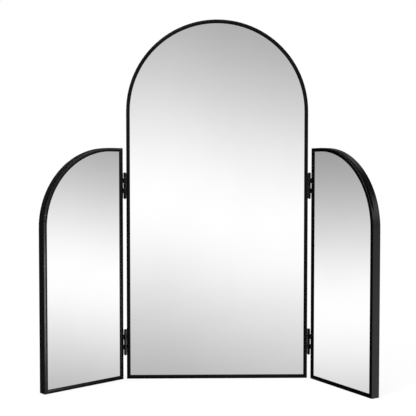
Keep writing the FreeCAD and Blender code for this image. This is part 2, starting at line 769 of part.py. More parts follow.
def make_hinges():
    centre_knuckles = range(0, KNUCKLES, 2)
    wing_knuckles = range(1, KNUCKLES, 2)
    screws = new_body("centre_hinge_screws")
    for side, side_name, fold in ((LEFT, "left", size["left_wing_fold"]),
                                  (RIGHT, "right", size["right_wing_fold"])):
        for level, middle in (("lower", low_hinge), ("upper", high_hinge)):
            prefix = "%s_%s_hinge" % (side_name, level)
            centre_leaf = make_leaf(prefix + "_centre_leaf", -side, middle, centre_knuckles)
            wing_leaf = make_leaf(prefix + "_wing_leaf", side, middle, wing_knuckles)
            pin = make_pin(prefix + "_pin", middle)
            centre_plate = make_nut_plate(prefix + "_centre_nut_plate", -side, middle)
            wing_plate = make_nut_plate(prefix + "_wing_nut_plate", side, middle)
            for piece in (centre_leaf, pin, centre_plate):
                set_at_axis(piece, side)
            for piece in (wing_leaf, wing_plate):
                set_at_axis(piece, side, fold)
        add_leaf_screws(screws, side_name, side * axis_x, -side,
                        axis_y + size["leaf_screw_line"])
        wing_screws = new_body(side_name + "_wing_hinge_screws")
        add_leaf_screws(wing_screws, "wing", ZERO, side, size["leaf_screw_line"])
        set_at_axis(wing_screws, side, fold)


def export():
    """Checks every object of the document, then writes one STEP file per sub-part."""
    doc.recompute()
    for thing in doc.Objects:
        if "Invalid" in thing.State or "Error" in thing.State:
            raise RuntimeError("%s is %s" % (thing.Name, thing.State))
    os.makedirs("parts", exist_ok=True)
    for body in subparts:
        shape = body.Shape
        if shape.isNull() or not shape.isValid() or not shape.Solids:
            raise RuntimeError("%s has no valid solid" % body.Label)
    for body in subparts:
        body.Shape.exportStep("parts/%s.step" % body.Label)
        print("%-36s %2d solids %10.0f mm3" % (body.Label, len(body.Shape.Solids),
                                               body.Shape.Volume))


make_centre_panel()
make_wing(LEFT, "left_wing", size["left_wing_fold"])
make_wing(RIGHT, "right_wing", size["right_wing_fold"])
make_hinges()
export()
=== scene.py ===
import json
import math

import bmesh
import bpy
from mathutils import Matrix, Vector


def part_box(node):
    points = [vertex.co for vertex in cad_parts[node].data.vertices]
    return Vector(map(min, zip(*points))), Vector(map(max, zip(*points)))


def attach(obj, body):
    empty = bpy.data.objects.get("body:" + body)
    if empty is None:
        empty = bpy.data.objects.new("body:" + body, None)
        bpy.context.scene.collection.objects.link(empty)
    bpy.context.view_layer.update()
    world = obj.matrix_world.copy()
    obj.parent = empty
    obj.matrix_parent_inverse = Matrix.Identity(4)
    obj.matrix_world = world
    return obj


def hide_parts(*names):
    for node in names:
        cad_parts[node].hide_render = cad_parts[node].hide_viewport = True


# Trifold vanity mirror: three silvered glass panels in black powder-coated aluminium rails.
# Metres, +Z up, the mirrors face -Y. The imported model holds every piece's shape and place. This
# script gives the pieces their finish, cuts the screws' drive recesses and sets up the studio.

MM = 0.001

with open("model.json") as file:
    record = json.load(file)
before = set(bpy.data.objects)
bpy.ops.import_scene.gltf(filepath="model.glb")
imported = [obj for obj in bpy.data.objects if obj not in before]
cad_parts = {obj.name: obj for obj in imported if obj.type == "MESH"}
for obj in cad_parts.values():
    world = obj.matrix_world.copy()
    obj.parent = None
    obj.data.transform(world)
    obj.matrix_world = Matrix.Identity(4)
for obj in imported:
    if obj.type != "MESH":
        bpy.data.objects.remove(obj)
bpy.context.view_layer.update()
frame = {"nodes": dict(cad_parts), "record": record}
nodes = frame["nodes"]


# ---------------------------------------------------------------- small helpers

def linear(hex_colour):
    """An sRGB hex colour as linear RGBA."""
    channels = [int(hex_colour[i:i + 2], 16) / 255 for i in (1, 3, 5)]
    return [c / 12.92 if c <= 0.04045 else ((c + 0.055) / 1.055) ** 2.4 for c in channels] + [1.0]


def add(tree, kind, inputs=None, **settings):
    """Adds a node. An input is a value, or another node's output to link."""
    node = tree.nodes.new(kind)
    for name, value in settings.items():
        setattr(node, name, value)
    for name, value in (inputs or {}).items():
        if isinstance(value, bpy.types.NodeSocket):
            tree.links.new(value, node.inputs[name])
        else:
            node.inputs[name].default_value = value
    return node


def new_material(name):
    """An empty material and its node tree."""
    material = bpy.data.materials.new(name)
    material.use_nodes = True
    material.node_tree.nodes.clear()
    return material, material.node_tree


def per_metre(size_mm):
    """The texture scale at which one grain is size_mm wide."""
    return 1 / (size_mm * MM)


# ---------------------------------------------------------------- finishes

NOISE_RANGE = {"From Min": 0.3, "From Max": 0.7}    # most of a noise texture lies in here


def powder_coated_aluminium():
    """Extruded aluminium rail, sprayed with black polyester powder and baked. Almost no colour
    of its own. It gives a soft satin gloss, broken up by fine orange peel and cloudy where the
    coat is thicker."""
    material, tree = new_material("powder_coated_aluminium")
    place = add(tree, "ShaderNodeTexCoord").outputs["Object"]
    # Real peel is about 1 mm across and a few microns deep. It is drawn at 2 mm to show.
    peel = add(tree, "ShaderNodeTexNoise",
               {"Vector": place, "Scale": per_metre(2.0)}).outputs["Fac"]
    # Single powder grains are 0.05 mm, drawn at 0.5 mm.
    grains = add(tree, "ShaderNodeTexNoise",
                 {"Vector": place, "Scale": per_metre(0.5)}).outputs["Fac"]
    # The coat runs thicker and thinner over a spray gun's stroke of about 45 mm.
    coat = add(tree, "ShaderNodeTexNoise",
               {"Vector": place, "Scale": per_metre(45), "Detail": 3.0,
                "Roughness": 0.6}).outputs["Fac"]
    # Hands dull the rail a little, in stretches of about 160 mm.
    handled = add(tree, "ShaderNodeTexNoise",
                  {"Vector": place, "Scale": per_metre(160), "Detail": 4.0,
                   "Roughness": 0.65}).outputs["Fac"]
    sprayed_gloss = add(tree, "ShaderNodeMapRange",
                        {"Value": coat, **NOISE_RANGE, "To Min": 0.25,
                         "To Max": 0.31}).outputs["Result"]
    handled_gloss = add(tree, "ShaderNodeMapRange",
                        {"Value": handled, **NOISE_RANGE, "To Min": -0.02,
                         "To Max": 0.03}).outputs["Result"]
    gloss = add(tree, "ShaderNodeMath", {0: sprayed_gloss, 1: handled_gloss},
                operation="ADD").outputs["Value"]
    tone = add(tree, "ShaderNodeMix",
               {"Factor": coat, "A": linear("#050505"), "B": linear("#080809")},
               data_type="RGBA").outputs["Result"]
    pale_grains = add(tree, "ShaderNodeMapRange",
                      {"Value": grains, "From Min": 0.55, "From Max": 0.75, "To Min": 0.0,
                       "To Max": 0.5}).outputs["Result"]
    tone = add(tree, "ShaderNodeMix",
               {"Factor": pale_grains, "A": tone, "B": linear("#0f0f10")},
               data_type="RGBA").outputs["Result"]
    peeled = add(tree, "ShaderNodeBump",
                 {"Height": peel, "Distance": 0.012 * MM}).outputs["Normal"]
    grained = add(tree, "ShaderNodeBump",
                  {"Height": grains, "Distance": 0.0015 * MM,
                   "Normal": peeled}).outputs["Normal"]
    shader = add(tree, "ShaderNodeBsdfPrincipled",
                 {"Base Color": tone, "Roughness": gloss, "IOR": 1.5, "Normal": grained})
    add(tree, "ShaderNodeOutputMaterial", {"Surface": shader.outputs["BSDF"]})
    return material


def silvered_float_glass():
    """Polished float glass, silvered on its back. It gives a clean, neutral mirror image, with
    a roll wave from the float line too shallow to notice."""
    material, tree = new_material("silvered_float_glass")
    place = add(tree, "ShaderNodeTexCoord").outputs["Object"]
    # The float line's rollers leave waves about 110 mm apart.
    wave = add(tree, "ShaderNodeTexNoise",
               {"Vector": place, "Scale": per_metre(110), "Detail": 1.0}).outputs["Fac"]
    wave_share = add(tree, "ShaderNodeMapRange",
                     {"Value": wave, **NOISE_RANGE}).outputs["Result"]
    silver = add(tree, "ShaderNodeMix",
                 {"Factor": wave_share, "A": linear("#fafafa"), "B": linear("#fcfcfc")},
                 data_type="RGBA").outputs["Result"]
    waved = add(tree, "ShaderNodeBump",
                {"Height": wave, "Distance": 0.002 * MM}).outputs["Normal"]
    shader = add(tree, "ShaderNodeBsdfPrincipled",
                 {"Base Color": silver, "Metallic": 1.0, "Roughness": 0.0, "Normal": waved})
    add(tree, "ShaderNodeOutputMaterial", {"Surface": shader.outputs["BSDF"]})
    return material


def polyethylene_foam():
    """White closed-cell polyethylene foam, extruded in sheet. It gives a matt, chalky white with
    small round cells."""
    material, tree = new_material("polyethylene_foam")
    place = add(tree, "ShaderNodeTexCoord").outputs["Object"]
    # Cells are about 0.9 mm across.
    walls = add(tree, "ShaderNodeTexVoronoi",
                {"Vector": place, "Scale": per_metre(0.9)}).outputs["Distance"]
    # The tone is darker in each cell's low middle and paler on its raised walls: painted shade in
    # the cell hollows.
    tone = add(tree, "ShaderNodeMix",
               {"Factor": walls, "A": linear("#cfcfc9"), "B": linear("#e9e9e4")},
               data_type="RGBA").outputs["Result"]
    gloss = add(tree, "ShaderNodeMapRange",
                {"Value": walls, "From Min": 0.0, "From Max": 1.0, "To Min": 0.95,
                 "To Max": 0.8}).outputs["Result"]
    celled = add(tree, "ShaderNodeBump",
                 {"Height": walls, "Distance": 0.15 * MM}).outputs["Normal"]
    shader = add(tree, "ShaderNodeBsdfPrincipled",
                 {"Base Color": tone, "Roughness": gloss, "IOR": 1.5, "Normal": celled})
    add(tree, "ShaderNodeOutputMaterial", {"Surface": shader.outputs["BSDF"]})
    return material


def fibre_layer(tree, place, turn_degrees, length_mm, width_mm):
    """Long thin flecks in the board's plane, turned about the board's thickness."""
    # A texture mapping turns first and stretches after, so each layer lies its own way.
    turned = add(tree, "ShaderNodeMapping",
                 {"Vector": place, "Rotation": (0, math.radians(turn_degrees), 0),
                  "Scale": (length_mm / width_mm, 1, 1)}, vector_type="TEXTURE").outputs["Vector"]
    return add(tree, "ShaderNodeTexNoise",
               {"Vector": turned, "Scale": per_metre(width_mm), "Detail": 1.0}).outputs["Fac"]


def tempered_hardboard():
    """Wood fibres steamed, pressed hot into board and tempered with oil. It gives a mid brown
    with darker and paler fibres lying every way, oil clouds, and a dull sheen from the press
    plate."""
    material, tree = new_material("tempered_hardboard")
    place = add(tree, "ShaderNodeTexCoord").outputs["Object"]
    # Real fibres are 3 to 10 mm long and 0.1 mm thick, drawn at 0.6 mm thick to show.
    length_mm, width_mm = 6, 0.6
    fibres = [fibre_layer(tree, place, turn, length_mm, width_mm)
              for turn in (12, 61, 104, 153)]
    dark = add(tree, "ShaderNodeMath", {0: fibres[0], 1: fibres[2]},
               operation="MINIMUM").outputs["Value"]
    pale = add(tree, "ShaderNodeMath", {0: fibres[1], 1: fibres[3]},
               operation="MAXIMUM").outputs["Value"]
    # Oil soaks in unevenly, in clouds of about 130 mm.
    oil = add(tree, "ShaderNodeTexNoise",
              {"Vector": place, "Scale": per_metre(130), "Detail": 5.0,
               "Roughness": 0.6}).outputs["Fac"]
    oil_share = add(tree, "ShaderNodeMapRange",
                    {"Value": oil, **NOISE_RANGE}).outputs["Result"]
    dark_share = add(tree, "ShaderNodeMapRange",
                     {"Value": dark, "From Min": 0.22, "From Max": 0.4, "To Min": 0.5,
                      "To Max": 0.0}).outputs["Result"]
    pale_share = add(tree, "ShaderNodeMapRange",
                     {"Value": pale, "From Min": 0.6, "From Max": 0.78, "To Min": 0.0,
                      "To Max": 0.35}).outputs["Result"]
    tone = add(tree, "ShaderNodeMix",
               {"Factor": oil_share, "A": linear("#5f452f"), "B": linear("#74573d")},
               data_type="RGBA").outputs["Result"]
    tone = add(tree, "ShaderNodeMix",
               {"Factor": dark_share, "A": tone, "B": linear("#3d2a1b")},
               data_type="RGBA").outputs["Result"]
    tone = add(tree, "ShaderNodeMix",
               {"Factor": pale_share, "A": tone, "B": linear("#977a58")},
               data_type="RGBA").outputs["Result"]
    gloss = add(tree, "ShaderNodeMapRange",
                {"Value": oil, **NOISE_RANGE, "To Min": 0.62, "To Max": 0.44}).outputs["Result"]
    dented = add(tree, "ShaderNodeBump",
                 {"Height": dark, "Distance": 0.04 * MM}).outputs["Normal"]
    raised = add(tree, "ShaderNodeBump",
                 {"Height": pale, "Distance": 0.03 * MM, "Normal": dented}).outputs["Normal"]
    shader = add(tree, "ShaderNodeBsdfPrincipled",
                 {"Base Color": tone, "Roughness": gloss, "IOR": 1.5, "Normal": raised})
    add(tree, "ShaderNodeOutputMaterial", {"Surface": shader.outputs["BSDF"]})
    return material


def moulded_rubber():
    """EPDM rubber, moulded in long strip and cut to blocks. It gives a matt near-black with a
    faint grey bloom."""
    material, tree = new_material("moulded_rubber")
    place = add(tree, "ShaderNodeTexCoord").outputs["Object"]
    # Bloom comes up in patches of about 6 mm. The mould's fine skin is drawn at 0.4 mm to show.
    bloom = add(tree, "ShaderNodeTexNoise",
                {"Vector": place, "Scale": per_metre(6), "Detail": 4.0}).outputs["Fac"]
    skin = add(tree, "ShaderNodeTexNoise",
               {"Vector": place, "Scale": per_metre(0.4)}).outputs["Fac"]
    bloom_share = add(tree, "ShaderNodeMapRange",
                      {"Value": bloom, **NOISE_RANGE}).outputs["Result"]
    tone = add(tree, "ShaderNodeMix",
               {"Factor": bloom_share, "A": linear("#161617"), "B": linear("#2a2a2b")},
               data_type="RGBA").outputs["Result"]
    gloss = add(tree, "ShaderNodeMapRange",
                {"Value": bloom, **NOISE_RANGE, "To Min": 0.68,
                 "To Max": 0.85}).outputs["Result"]
    skinned = add(tree, "ShaderNodeBump",
                  {"Height": skin, "Distance": 0.01 * MM}).outputs["Normal"]
    shader = add(tree, "ShaderNodeBsdfPrincipled",
                 {"Base Color": tone, "Roughness": gloss, "IOR": 1.52, "Normal": skinned})
    add(tree, "ShaderNodeOutputMaterial", {"Surface": shader.outputs["BSDF"]})
    return material


def tumbled_spring_steel():
    """Hardened steel strip, stamped, bowed and tumbled in stone. It gives a grey satin metal
    with fine scuffs lying every way."""
    material, tree = new_material("tumbled_spring_steel")
    place = add(tree, "ShaderNodeTexCoord").outputs["Object"]
    # Temper clouds are about 14 mm. Scuffs are finer than 0.1 mm, drawn at 0.35 mm to show.
    temper = add(tree, "ShaderNodeTexNoise",
                 {"Vector": place, "Scale": per_metre(14), "Detail": 3.0}).outputs["Fac"]
    scuffs = add(tree, "ShaderNodeTexNoise",
                 {"Vector": place, "Scale": per_metre(0.35), "Detail": 4.0,
                  "Roughness": 0.7}).outputs["Fac"]
    temper_share = add(tree, "ShaderNodeMapRange",
                       {"Value": temper, **NOISE_RANGE}).outputs["Result"]
    tone = add(tree, "ShaderNodeMix",
               {"Factor": temper_share, "A": linear("#6f6d6a"), "B": linear("#8b8a87")},
               data_type="RGBA").outputs["Result"]
    gloss = add(tree, "ShaderNodeMapRange",
                {"Value": scuffs, **NOISE_RANGE, "To Min": 0.26,
                 "To Max": 0.46}).outputs["Result"]
    scuffed = add(tree, "ShaderNodeBump",
                  {"Height": scuffs, "Distance": 0.004 * MM}).outputs["Normal"]
    shader = add(tree, "ShaderNodeBsdfPrincipled",
                 {"Base Color": tone, "Metallic": 1.0, "Roughness": gloss, "Normal": scuffed})
    add(tree, "ShaderNodeOutputMaterial", {"Surface": shader.outputs["BSDF"]})
    return material


def zinc_plated_steel():
    """Stamped steel, barrel-plated with zinc and clear-passivated. It gives a pale metal with a
    cold tint here and a straw tint there."""
    material, tree = new_material("zinc_plated_steel")
    place = add(tree, "ShaderNodeTexCoord").outputs["Object"]
    # Tints change over about 9 mm. Plating grain is finer than 0.1 mm, drawn at 0.5 mm to show.
    passivate = add(tree, "ShaderNodeTexNoise",
                    {"Vector": place, "Scale": per_metre(9), "Detail": 3.0}).outputs["Fac"]
    grain = add(tree, "ShaderNodeTexNoise",
                {"Vector": place, "Scale": per_metre(0.5), "Detail": 3.0}).outputs["Fac"]
    straw_share = add(tree, "ShaderNodeMapRange",
                      {"Value": passivate, **NOISE_RANGE}).outputs["Result"]
    tone = add(tree, "ShaderNodeMix",
               {"Factor": straw_share, "A": linear("#b9bfc4"), "B": linear("#cbc6b4")},
               data_type="RGBA").outputs["Result"]
    gloss = add(tree, "ShaderNodeMapRange",
                {"Value": grain, **NOISE_RANGE, "To Min": 0.3, "To Max": 0.42}).outputs["Result"]
    grained = add(tree, "ShaderNodeBump",
                  {"Height": grain, "Distance": 0.003 * MM}).outputs["Normal"]
    shader = add(tree, "ShaderNodeBsdfPrincipled",
                 {"Base Color": tone, "Metallic": 1.0, "Roughness": gloss, "Normal": grained})
    add(tree, "ShaderNodeOutputMaterial", {"Surface": shader.outputs["BSDF"]})
    return material


def black_oxide_steel():
    """Steel screws, cold-headed and blackened in a hot oxide bath. They give a dark metal, oily
    and slightly brown where the bath was thin."""
    material, tree = new_material("black_oxide_steel")
    place = add(tree, "ShaderNodeTexCoord").outputs["Object"]
    # The bath leaves patches of about 1.6 mm, a few to a screw's head.
    bath = add(tree, "ShaderNodeTexNoise",
               {"Vector": place, "Scale": per_metre(1.6), "Detail": 3.0}).outputs["Fac"]
    brown_share = add(tree, "ShaderNodeMapRange",
                      {"Value": bath, **NOISE_RANGE}).outputs["Result"]
    tone = add(tree, "ShaderNodeMix",
               {"Factor": brown_share, "A": linear("#1d1d1e"), "B": linear("#312e2c")},
               data_type="RGBA").outputs["Result"]
    gloss = add(tree, "ShaderNodeMapRange",
                {"Value": bath, **NOISE_RANGE, "To Min": 0.32, "To Max": 0.45}).outputs["Result"]
    patched = add(tree, "ShaderNodeBump",
                  {"Height": bath, "Distance": 0.003 * MM}).outputs["Normal"]
    shader = add(tree, "ShaderNodeBsdfPrincipled",
                 {"Base Color": tone, "Metallic": 1.0, "Roughness": gloss, "Normal": patched})
    add(tree, "ShaderNodeOutputMaterial", {"Surface": shader.outputs["BSDF"]})
    return material


def enamelled_steel():
    """Steel hinges, rolled from sheet and dipped in black enamel. They give a smooth satin black,
    a little duller in cloudy patches where the dip ran thin."""
    material, tree = new_material("enamelled_steel")
    place = add(tree, "ShaderNodeTexCoord").outputs["Object"]
    # The dip runs thin in patches of about 5 mm, and dries with a skin of about 0.8 mm.
    dip = add(tree, "ShaderNodeTexNoise",
              {"Vector": place, "Scale": per_metre(5), "Detail": 3.0}).outputs["Fac"]
    skin = add(tree, "ShaderNodeTexNoise",
               {"Vector": place, "Scale": per_metre(0.8)}).outputs["Fac"]
    thin_share = add(tree, "ShaderNodeMapRange",
                     {"Value": dip, **NOISE_RANGE}).outputs["Result"]
    tone = add(tree, "ShaderNodeMix",
               {"Factor": thin_share, "A": linear("#090909"), "B": linear("#0f0f10")},
               data_type="RGBA").outputs["Result"]
    gloss = add(tree, "ShaderNodeMapRange",
                {"Value": dip, **NOISE_RANGE, "To Min": 0.24, "To Max": 0.34}).outputs["Result"]
    skinned = add(tree, "ShaderNodeBump",
                  {"Height": skin, "Distance": 0.003 * MM}).outputs["Normal"]
    shader = add(tree, "ShaderNodeBsdfPrincipled",
                 {"Base Color": tone, "Roughness": gloss, "IOR": 1.5, "Normal": skinned})
    add(tree, "ShaderNodeOutputMaterial", {"Surface": shader.outputs["BSDF"]})
    return material


FINISHES = {
    "rail_black": powder_coated_aluminium(),
    "mirror": silvered_float_glass(),
    "foam": polyethylene_foam(),
    "hardboard": tempered_hardboard(),
    "setting_rubber": moulded_rubber(),
    "spring_steel": tumbled_spring_steel(),
    "plated_steel": zinc_plated_steel(),
    "screw_black": black_oxide_steel(),
    "hinge_black": enamelled_steel(),
}


def dress(piece, slot):
    """Gives a piece its finish. The glass shows the studio's sweep alone, so no piece shows
    in it."""
    piece.data.materials.clear()
    piece.data.materials.append(FINISHES[slot])
    piece.visible_glossy = False


# ---------------------------------------------------------------- screws with drive recesses

RECESS_ARM = 1.45 * MM       # half the cross across its arms, at the head's face
RECESS_ARM_BELOW = 0.65 * MM
RECESS_SLOT = 0.32 * MM      # half an arm's width
RECESS_SLOT_BELOW = 0.2 * MM
RECESS_DEPTH = 1.0 * MM
ABOVE_HEAD = 0.1 * MM        # how far the cutter stands out of the head
CROSS_CORNERS = 12
GOLDEN_TURN = math.radians(137.5)   # no two heads stop at the same turn
WELD = 0.001 * MM
SHARP_ANGLE = math.radians(30)      # faces that meet more steeply have an edge between them


def separate_solids(welded):
    """The welded mesh's separate solids, each a list of its faces."""
    left = set(welded.faces)
    solids = []
    while left:
        reached = [min(left, key=lambda face: face.index)]
        left.remove(reached[0])
        for face in reached:
            for edge in face.edges:
                fresh = [other for other in edge.link_faces if other in left]
                left.difference_update(fresh)
                reached.extend(fresh)
        solids.append(reached)
    return solids


def head_face(faces):
    """Middle and outward direction of a screw's head: its largest flat."""
    flats = {}
    for face in faces:
        # The faces of one flat share their rounded direction.
        direction = tuple(round(c, 2) for c in face.normal)
        area, middle, out = flats.get(direction, (0.0, Vector(), Vector()))
        size = face.calc_area()
        flats[direction] = (area + size, middle + face.calc_center_median() * size,
                            out + face.normal * size)
    area, middle, out = max(flats.values(), key=lambda flat: flat[0])
    return middle / area, out.normalized()


def cross_outline(arm, slot):
    """The corners of an upright cross, in order."""
    quarter = [(arm, -slot), (arm, slot), (slot, slot)]
    corners = []
    for turn in range(4):
        for x, y in quarter:
            for _ in range(turn):
                x, y = -y, x
            corners.append((x, y))
    return corners


def add_cross_cutter(vertices, faces, middle, out, turn):
    """A tapered cross that reaches from just above a screw's head down into it."""
    across = out.orthogonal().normalized()
    across.rotate(Matrix.Rotation(turn, 3, out))
    along = out.cross(across)
    top = len(vertices)
    bottom = top + CROSS_CORNERS
    for arm, slot, height in ((RECESS_ARM, RECESS_SLOT, ABOVE_HEAD),
                              (RECESS_ARM_BELOW, RECESS_SLOT_BELOW, -RECESS_DEPTH)):
        for x, y in cross_outline(arm, slot):
            vertices.append(middle + across * x + along * y + out * height)
    faces.append([top + i for i in range(CROSS_CORNERS)])
    faces.append([bottom + i for i in reversed(range(CROSS_CORNERS))])
    for i in range(CROSS_CORNERS):
        j = (i + 1) % CROSS_CORNERS
        faces.append([top + j, top + i, bottom + i, bottom + j])


def recessed_screws(node):
    """Copies of a node's screws with a cross recess cut into every head."""
    welded = bmesh.new()
    welded.from_mesh(nodes[node].data)
    bmesh.ops.remove_doubles(welded, verts=welded.verts, dist=WELD)
    welded.normal_update()
    vertices, faces = [], []
    for number, solid in enumerate(separate_solids(welded)):
        middle, out = head_face(solid)
        add_cross_cutter(vertices, faces, middle, out, number * GOLDEN_TURN)
    cutter_mesh = bpy.data.meshes.new("cross_cutter")
    cutter_mesh.from_pydata(vertices, [], faces)
    cutter = bpy.data.objects.new("cross_cutter", cutter_mesh)
    uncut_mesh = bpy.data.meshes.new("uncut_screws")
    welded.to_mesh(uncut_mesh)
    welded.free()
    uncut = bpy.data.objects.new("uncut_screws", uncut_mesh)
    for thing in (cutter, uncut):
        bpy.context.scene.collection.objects.link(thing)
    recess = uncut.modifiers.new("recess", "BOOLEAN")
    recess.operation = "DIFFERENCE"
    recess.solver = "EXACT"
    recess.object = cutter
    mesh = bpy.data.meshes.new_from_object(
        uncut.evaluated_get(bpy.context.evaluated_depsgraph_get()))
    mesh.name = node + "_recessed"
    for thing in (cutter, uncut):
        bpy.data.objects.remove(thing)
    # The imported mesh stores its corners' normals, and the cut twists them.
    stored_normals = mesh.attributes.get("custom_normal")
    if stored_normals:
        mesh.attributes.remove(stored_normals)
    mesh.shade_smooth()
    mesh.set_sharp_from_angle(angle=SHARP_ANGLE)
    piece = bpy.data.objects.new(node + "_recessed", mesh)
    bpy.context.scene.collection.objects.link(piece)
    return piece


# ---------------------------------------------------------------- studio

# Directions are in degrees. Azimuth 0 is towards the viewer, 90 towards +X, 180 behind the mirror.
DEGREE = math.degrees(1)
FULL_TURN = 360

# The sweep that the glass shows, by azimuth: the elevation of its white crest, and how far from
# the crest its brightness has halved.
SWEEP_CREST = ((-150, -8.0), (-109, -9.2), (-60, -4.0), (-5, -1.6), (1.5, -2.7), (8, -3.9),
               (35, -5.6), (70, -6.6), (76, -7.4), (120, -8.5))
SWEEP_SPREAD = ((-150, 8.0), (-109, 8.0), (-60, 9.5), (-5, 11.6), (8, 11.6), (40, 10.0),
                (70, 8.0), (120, 8.0))
CURVE_SPAN = 20.0            # a curve holds 0 to 1, which stands for this many degrees
CREST_BRIGHTNESS = 1.03
SWEEP_LOWEST = 0.3           # brightness far from the crest
SWEEP_BLEND = 0.1            # how softly it levels off there

# The walls, boxes and boards round the mirror: middle and half width of the azimuth, its soft
# edge, lowest and highest elevation, their soft edge, and brightness.
SOFT_LIGHTS = (
    (26, 20, 10, -60, 40, 12, 0.2),     # front wall, right of the camera
    (-12, 9, 4, 12, 30, 4, 1.2),        # window above the camera, left
    (-50, 12, 6, 10, 64, 8, 7.0),       # tall box, left
    (80, 22, 8, -50, -5, 3, 0.85),      # low box, right
    (80, 22, 8, -5, 8, 3, 0.35),        # gap between the right boxes
    (80, 22, 8, 8, 28, 2, 1.1),         # high box, right
    (0, 45, 12, 55, 78, 6, 1.5),        # overhead, front
    (180, 50, 12, 62, 80, 6, 1.5),      # overhead, behind
    (142, 18, 8, 36, 54, 6, 0.45),      # slope of the ceiling, right
    (140, 26, 8, -12, 22, 8, 0.8),      # rear wall, right
    (-142, 30, 8, -70, 45, 10, 0.06),   # rear wall, left
    (168, 50, 10, -75, -12, 4, 1.4),    # floor behind the mirror
)
ZENITH = (72, 4, 6.5)        # lowest elevation, soft edge, brightness
PAST_ZENITH = 100            # beyond straight up, so that light has no upper edge
DIM_ROOM = 0.025


def directions(tree):
    """Azimuth and elevation of the direction that the world is seen in."""
    way = add(tree, "ShaderNodeTexCoord").outputs["Generated"]
    axes = add(tree, "ShaderNodeSeparateXYZ", {"Vector": way}).outputs
    rise = add(tree, "ShaderNodeMath", {0: axes["Z"]}, operation="ARCSINE").outputs["Value"]
    elevation = add(tree, "ShaderNodeMath", {0: rise, 1: DEGREE},
                    operation="MULTIPLY").outputs["Value"]
    forward = add(tree, "ShaderNodeMath", {0: axes["Y"], 1: -1.0},
                  operation="MULTIPLY").outputs["Value"]
    turn = add(tree, "ShaderNodeMath", {0: axes["X"], 1: forward},
               operation="ARCTAN2").outputs["Value"]
    azimuth = add(tree, "ShaderNodeMath", {0: turn, 1: DEGREE},
                  operation="MULTIPLY").outputs["Value"]
    return azimuth, elevation


def curve_by_azimuth(tree, azimuth, points):
    """A smooth curve through (azimuth, value) points. Its values lie in 0 to 1."""
    turn = add(tree, "ShaderNodeMath", {0: azimuth, 1: 1 / FULL_TURN, 2: 0.5},
               operation="MULTIPLY_ADD").outputs["Value"]
    node = add(tree, "ShaderNodeFloatCurve", {"Value": turn})
    curve = node.mapping.curves[0]
    inner = [(a / FULL_TURN + 0.5, value) for a, value in points]
    curve.points[0].location = (0, inner[0][1])
    curve.points[1].location = (1, inner[-1][1])
    for location in inner:
        curve.points.new(*location)
    node.mapping.update()
    return node.outputs["Value"]


def window(tree, value, low, high, soft):
    """1 where the value lies from low to high, fading to 0 over soft on either side."""
    rise = add(tree, "ShaderNodeMapRange",
               {"Value": value, "From Min": low - soft, "From Max": low + soft},
               interpolation_type="SMOOTHSTEP").outputs["Result"]
    fall = add(tree, "ShaderNodeMapRange",
               {"Value": value, "From Min": high - soft, "From Max": high + soft,
                "To Min": 1.0, "To Max": 0.0},
               interpolation_type="SMOOTHSTEP").outputs["Result"]
    return add(tree, "ShaderNodeMath", {0: rise, 1: fall}, operation="MULTIPLY").outputs["Value"]


def pale_sweep(tree, azimuth, elevation):
    """What the glass shows: white along a crest, greyer above and below."""
    crest = curve_by_azimuth(tree, azimuth,
                             [(a, 1 + height / CURVE_SPAN) for a, height in SWEEP_CREST])
    crest = add(tree, "ShaderNodeMath", {0: crest, 1: CURVE_SPAN, 2: -CURVE_SPAN},
                operation="MULTIPLY_ADD").outputs["Value"]
    spread = curve_by_azimuth(tree, azimuth,
                              [(a, width / CURVE_SPAN) for a, width in SWEEP_SPREAD])
    spread = add(tree, "ShaderNodeMath", {0: spread, 1: CURVE_SPAN},
                 operation="MULTIPLY").outputs["Value"]
    off_crest = add(tree, "ShaderNodeMath", {0: elevation, 1: crest},
                    operation="SUBTRACT").outputs["Value"]
    spreads_off = add(tree, "ShaderNodeMath", {0: off_crest, 1: spread},
                      operation="DIVIDE").outputs["Value"]
    dimming = add(tree, "ShaderNodeMath", {0: spreads_off, 1: spreads_off, 2: 1.0},
                  operation="MULTIPLY_ADD").outputs["Value"]
    falloff = add(tree, "ShaderNodeMath", {0: CREST_BRIGHTNESS, 1: dimming},
                  operation="DIVIDE").outputs["Value"]
    return add(tree, "ShaderNodeMath", {0: falloff, 1: SWEEP_LOWEST, 2: SWEEP_BLEND},
               operation="SMOOTH_MAX").outputs["Value"]


def soft_studio(tree, azimuth, elevation):
    """The light that falls on the object and shows in its satin surfaces."""
    soft = DIM_ROOM
    for middle, half, side_soft, low, high, end_soft, level in SOFT_LIGHTS:
        turned = add(tree, "ShaderNodeMath", {0: azimuth, 1: middle},
                     operation="SUBTRACT").outputs["Value"]
        turned = add(tree, "ShaderNodeMath", {0: turned, 1: FULL_TURN / 2, 2: -FULL_TURN / 2},
                     operation="WRAP").outputs["Value"]
        light = add(tree, "ShaderNodeMath",
                    {0: window(tree, turned, -half, half, side_soft),
                     1: window(tree, elevation, low, high, end_soft)},
                    operation="MULTIPLY").outputs["Value"]
        soft = add(tree, "ShaderNodeMath", {0: light, 1: level, 2: soft},
                   operation="MULTIPLY_ADD").outputs["Value"]
    lowest, end_soft, level = ZENITH
    return add(tree, "ShaderNodeMath",
               {0: window(tree, elevation, lowest, PAST_ZENITH, end_soft), 1: level, 2: soft},
               operation="MULTIPLY_ADD").outputs["Value"]


